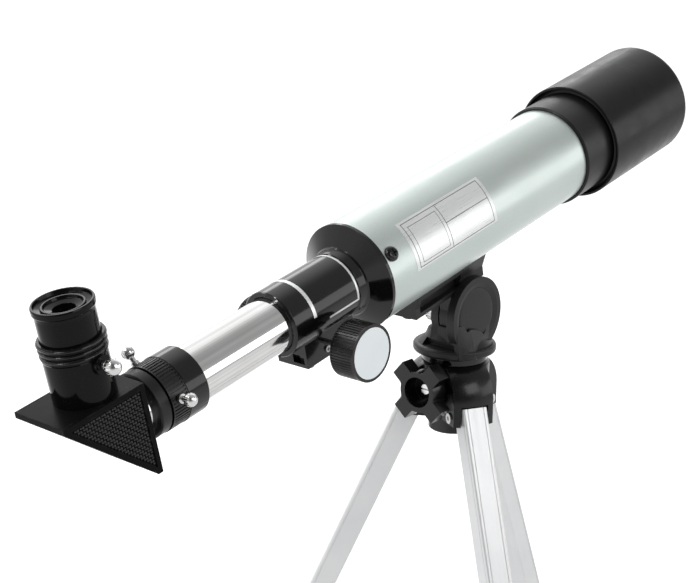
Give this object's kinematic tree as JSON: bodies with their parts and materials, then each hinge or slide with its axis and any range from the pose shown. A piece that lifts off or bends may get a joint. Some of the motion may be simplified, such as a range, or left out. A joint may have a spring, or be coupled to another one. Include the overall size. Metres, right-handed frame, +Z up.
{
  "type": "table telescope on tripod",
  "caption": "Small refracting telescope with rack focuser, prism diagonal and eyepiece, on a turning and tilting head with folding table-tripod legs.",
  "frame": {"origin": "middle of the footprint of the whole telescope's bounding box, on the table", "axes": "+X the way the telescope points in plan, +Y to its left, +Z up; one leg points forward"},
  "size_m": [0.48, 0.2718, 0.4652],
  "materials": {
    "tube_enamel": "satin",
    "satin_black": "satin",
    "gloss_black": "gloss",
    "head_black": "satin",
    "chrome": "polished",
    "leg_aluminium": "anodised satin",
    "foot_rubber": "matte",
    "lens_glass": "polished",
    "cap_grey": "satin",
    "steel": "plain",
    "black_screws": "gloss",
    "nylon": "matte",
    "bright_ring": "polished"
  },
  "bodies": {
    "tripod_hub": {"hub_shell": "head_black", "centre_socket": "head_black", "socket_cap": "head_black", "neck_ring": "gloss_black", "pan_washer": "nylon", "leg_rivets": "chrome", "brake_shoe": "nylon"},
    "pan_lock": {"star_knob": "head_black", "star_knob_screw": "steel"},
    "pan_head": {"pan_yoke": "head_black", "pan_spindle": "steel", "spindle_nut": "steel", "tilt_cover": "head_black", "tilt_bolt": "steel", "tilt_washers": "nylon"},
    "tilt_lock": {"tilt_knob": "bright_ring"},
    "optical_tube": {"main_tube": "tube_enamel", "tube_screws": "black_screws", "lens_cell": "satin_black", "objective_lens": "lens_glass", "lens_retaining_ring": "satin_black", "tube_baffle": "satin_black", "focuser_body": "gloss_black", "pinion_cover": "gloss_black", "cover_screws": "steel", "tension_screws": "steel", "saddle": "head_black", "saddle_screws": "black_screws"},
    "hood": {"lens_hood": "satin_black"},
    "focus_shaft": {"pinion_shaft": "steel", "focus_knob_near": "satin_black", "focus_knob_far": "satin_black", "focus_knob_caps": "cap_grey"},
    "draw_unit": {"drawtube": "chrome", "rack": "nylon", "end_collar": "gloss_black", "adapter_ring": "gloss_black"},
    "clamp_screw_a": {"collar_screw_a": "chrome"},
    "clamp_screw_b": {"collar_screw_b": "chrome"},
    "clamp_screw_c": {"collar_screw_c": "chrome"},
    "diagonal": {"diagonal_barrel": "chrome", "diagonal_flange": "satin_black", "prism_housing": "satin_black", "side_panel_near": "satin_black", "side_panel_far": "satin_black", "prism": "lens_glass", "prism_spring": "steel", "eyepiece_holder": "gloss_black"},
    "clamp_screw_d": {"holder_screw": "chrome"},
    "eyepiece": {"eyepiece_body": "satin_black", "eyepiece_barrel": "chrome", "eye_lens": "lens_glass", "field_lens": "lens_glass"},
    "leg_front": {"leg_channel_front": "leg_aluminium", "leg_foot_front": "foot_rubber"},
    "leg_left": {"leg_channel_left": "leg_aluminium", "leg_foot_left": "foot_rubber"},
    "leg_right": {"leg_channel_right": "leg_aluminium", "leg_foot_right": "foot_rubber"}
  },
  "joints": [
    {"name": "pan", "type": "hinge", "parent": "tripod_hub", "child": "pan_head", "pos_m": [0.0455, 0, 0.30367], "axis": [0, 0, 1], "continuous": true},
    {"name": "pan_lock_turn", "type": "hinge", "parent": "tripod_hub", "child": "pan_lock", "pos_m": [0.0203, 0, 0.29137], "axis": [-1, 0, 0], "continuous": true},
    {"name": "tilt", "type": "hinge", "parent": "pan_head", "child": "optical_tube", "pos_m": [0.0455, 0, 0.33127], "axis": [0, -1, 0], "range_deg": [-32.9, 37.1]},
    {"name": "tilt_lock_turn", "type": "hinge", "parent": "pan_head", "child": "tilt_lock", "pos_m": [0.0455, 0.01, 0.33127], "axis": [0, 1, 0], "continuous": true},
    {"name": "hood_slide", "type": "slide", "parent": "optical_tube", "child": "hood", "axis": [0.9748, 0, 0.2233], "range_m": [0, 0.014]},
    {"name": "focus", "type": "slide", "parent": "optical_tube", "child": "draw_unit", "axis": [-0.9748, 0, -0.2233], "range_m": [-0.055, 0.025]},
    {"name": "focus_knob_turn", "type": "hinge", "parent": "optical_tube", "child": "focus_shaft", "pos_m": [-0.07421, 0, 0.34268], "axis": [0, -1, 0], "continuous": true},
    {"name": "diagonal_turn", "type": "hinge", "parent": "draw_unit", "child": "diagonal", "pos_m": [-0.18065, 0, 0.33708], "axis": [0.9748, 0, 0.2233], "continuous": true},
    {"name": "eyepiece_slide", "type": "slide", "parent": "diagonal", "child": "eyepiece", "axis": [-0.2233, 0, 0.9748], "range_m": [0, 0.022]},
    {"name": "holder_screw_turn", "type": "hinge", "parent": "diagonal", "child": "clamp_screw_d", "pos_m": [-0.21761, -0.01593, 0.36605], "axis": [0.0934, -0.9954, 0.0214], "continuous": true},
    {"name": "collar_screw_turn_a", "type": "hinge", "parent": "draw_unit", "child": "clamp_screw_a", "pos_m": [-0.17581, -0.01582, 0.34061], "axis": [-0.033, -0.989, 0.1441], "continuous": true},
    {"name": "collar_screw_turn_b", "type": "hinge", "parent": "draw_unit", "child": "clamp_screw_b", "pos_m": [-0.17808, 0.00996, 0.35051], "axis": [-0.1747, 0.6225, 0.7629], "continuous": true},
    {"name": "collar_screw_turn_c", "type": "hinge", "parent": "draw_unit", "child": "clamp_screw_c", "pos_m": [-0.17196, 0.00586, 0.32379], "axis": [0.2077, 0.3665, -0.9069], "continuous": true},
    {"name": "leg_fold_front", "type": "hinge", "parent": "tripod_hub", "child": "leg_front", "pos_m": [0.06678, 0.00082, 0.27617], "axis": [-0.0384, 0.9993, 0], "range_deg": [0, 23.4]},
    {"name": "leg_fold_left", "type": "hinge", "parent": "tripod_hub", "child": "leg_left", "pos_m": [0.03415, 0.01802, 0.27617], "axis": [-0.8462, -0.5329, 0], "range_deg": [0, 23.4]},
    {"name": "leg_fold_right", "type": "hinge", "parent": "tripod_hub", "child": "leg_right", "pos_m": [0.03557, -0.01884, 0.27617], "axis": [0.8846, -0.4664, 0], "range_deg": [0, 23.4]}
  ],
  "couplings": [
    {"joint": "focus_knob_turn", "follows": "focus", "rad_per_m": 333.33}
  ]
}
